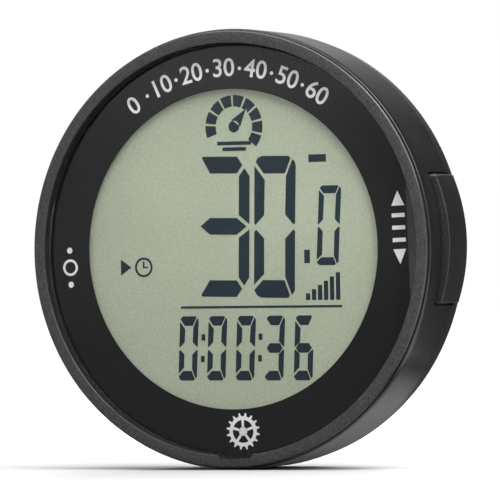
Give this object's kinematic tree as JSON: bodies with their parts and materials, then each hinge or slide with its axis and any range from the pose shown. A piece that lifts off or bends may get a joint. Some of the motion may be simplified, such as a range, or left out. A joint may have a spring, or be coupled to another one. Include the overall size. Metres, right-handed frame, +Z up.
{
  "type": "cycling computer",
  "caption": "Round handlebar cycling computer: disc case with a flat display, a pressed button on each side and a quarter-turn foot with a coin-slot battery door behind.",
  "frame": {"origin": "on the case's axis, in the plane of its rear face, where the bayonet foot begins", "axes": "-Y out of the display towards the reader, +Y out of the back along the foot's axis, +X to the reader's right (mode button), +Z up"},
  "size_m": [0.0624, 0.0164, 0.06],
  "materials": {
    "bezel_plastic": "fine spark-eroded matt",
    "housing_plastic": "smooth satin",
    "button_plastic": "satin, finely grained edges",
    "clear_lens": "clear, polished",
    "black_print": "even screen-printed black",
    "adhesive": "black adhesive foam tape",
    "foam": "open-cell foam",
    "lcd_front": "greenish-grey liquid crystal face",
    "lcd_glass": "thin sheet glass",
    "reflector": "satin metallised film",
    "white_plastic": "moulded, semi-matt",
    "zebra_rubber": "pink silicone with dark conducting layers",
    "board": "green solder mask",
    "epoxy": "glossy black resin",
    "chip_parts": "ceramic chips with tinned ends",
    "nickel": "nickel-plated, satin",
    "steel": "stamped steel",
    "screw_steel": "zinc-plated steel",
    "ferrite": "dark grey ferrite",
    "copper_wire": "enamelled copper winding",
    "stem_plastic": "moulded",
    "black_rubber": "moulded silicone"
  },
  "bodies": {
    "case": {"front_bezel": "bezel_plastic", "lens": "clear_lens", "window_mask": "black_print", "lens_tape": "adhesive", "display_foam": "foam", "lcd_polariser": "lcd_front", "lcd_front_glass": "lcd_glass", "lcd_rear_glass": "lcd_glass", "lcd_reflector": "reflector", "lcd_frame": "white_plastic", "zebra_strip": "zebra_rubber", "circuit_board": "board", "chip_blob": "epoxy", "board_chips": "chip_parts", "crystal": "steel", "antenna_core": "ferrite", "antenna_coil": "copper_wire", "mode_switch": "steel", "set_switch": "steel", "minus_contact": "nickel", "plus_contact": "nickel", "coin_cell": "steel", "rear_housing": "housing_plastic", "housing_seal": "black_rubber", "housing_screws": "screw_steel"},
    "mode_button": {"mode_button": "button_plastic", "mode_button_seal": "black_rubber", "mode_button_clip": "steel", "mode_switch_stem": "stem_plastic"},
    "set_button": {"set_button": "button_plastic", "set_button_seal": "black_rubber", "set_button_clip": "steel", "set_switch_stem": "stem_plastic"},
    "battery_door": {"battery_door": "housing_plastic", "battery_door_seal": "black_rubber"}
  },
  "joints": [
    {"name": "mode_press", "type": "slide", "parent": "case", "child": "mode_button", "axis": [-1, 0, 0], "range_m": [0, 0.0005], "stiffness_N_per_m": 3000, "springref_m": -0.0003},
    {"name": "set_press", "type": "slide", "parent": "case", "child": "set_button", "axis": [1, 0, 0], "range_m": [0, 0.0005], "stiffness_N_per_m": 3000, "springref_m": -0.0003},
    {"name": "door_turn", "type": "hinge", "parent": "case", "child": "battery_door", "pos_m": [0, 0, 0], "axis": [0, 1, 0], "range_deg": [0, 60]}
  ]
}
